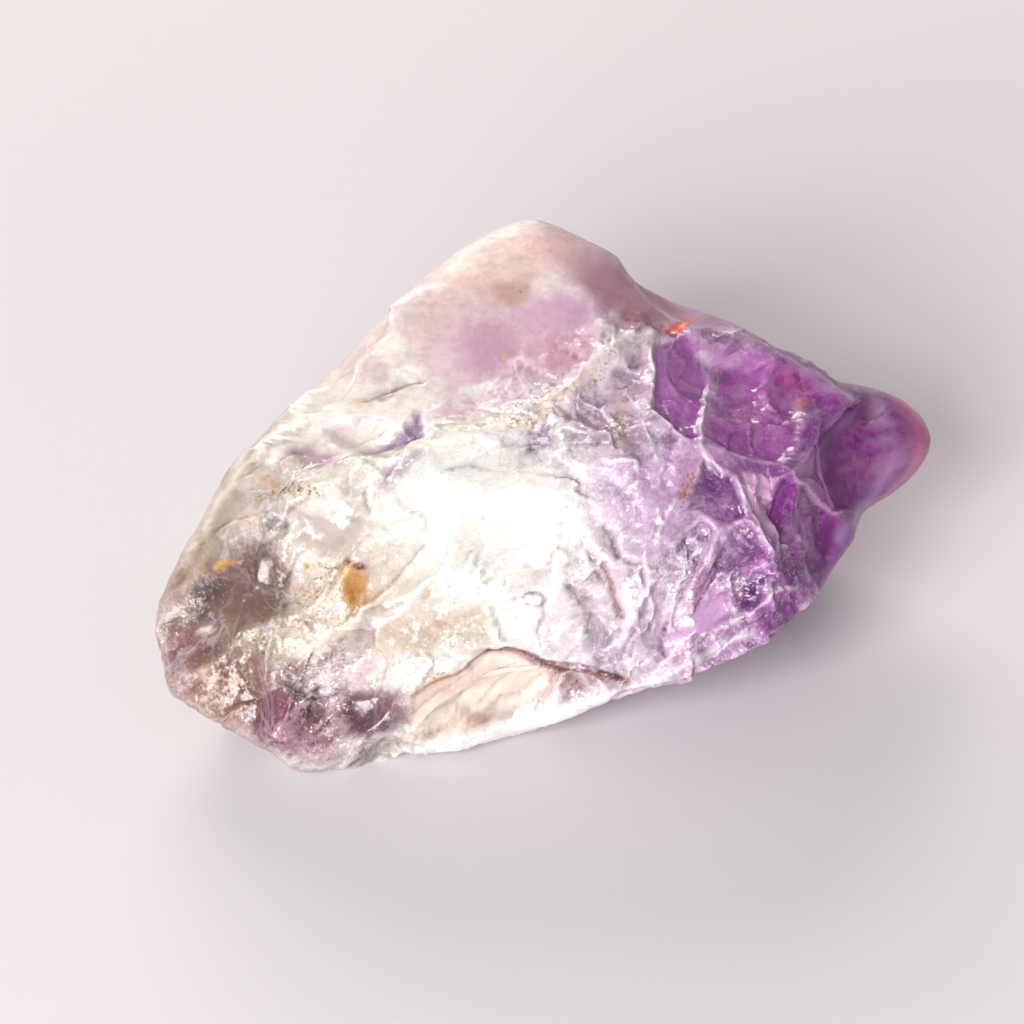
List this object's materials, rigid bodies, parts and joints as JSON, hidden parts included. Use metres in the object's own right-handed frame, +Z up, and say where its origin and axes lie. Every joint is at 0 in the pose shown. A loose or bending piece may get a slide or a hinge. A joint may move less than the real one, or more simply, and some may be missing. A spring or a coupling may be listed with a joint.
{
  "type": "rough ametrine",
  "caption": "One broken piece of see-through two-coloured quartz, violet at one end and champagne at the other, lying on a flat fracture.",
  "frame": {"origin": "middle of the stone's bounding box, on the flat fracture it rests on", "axes": "+Z up from the resting fracture, +X along the stone towards its violet nose, +Y away from the viewer of the picture"},
  "size_m": [0.039, 0.0268, 0.0171],
  "materials": {
    "quartz": "see-through quartz with broken, vitreous to frosted faces; colourless to pale champagne at the -X end, violet at the +X end"
  },
  "bodies": {
    "root": {"ametrine": "quartz"}
  },
  "joints": []
}
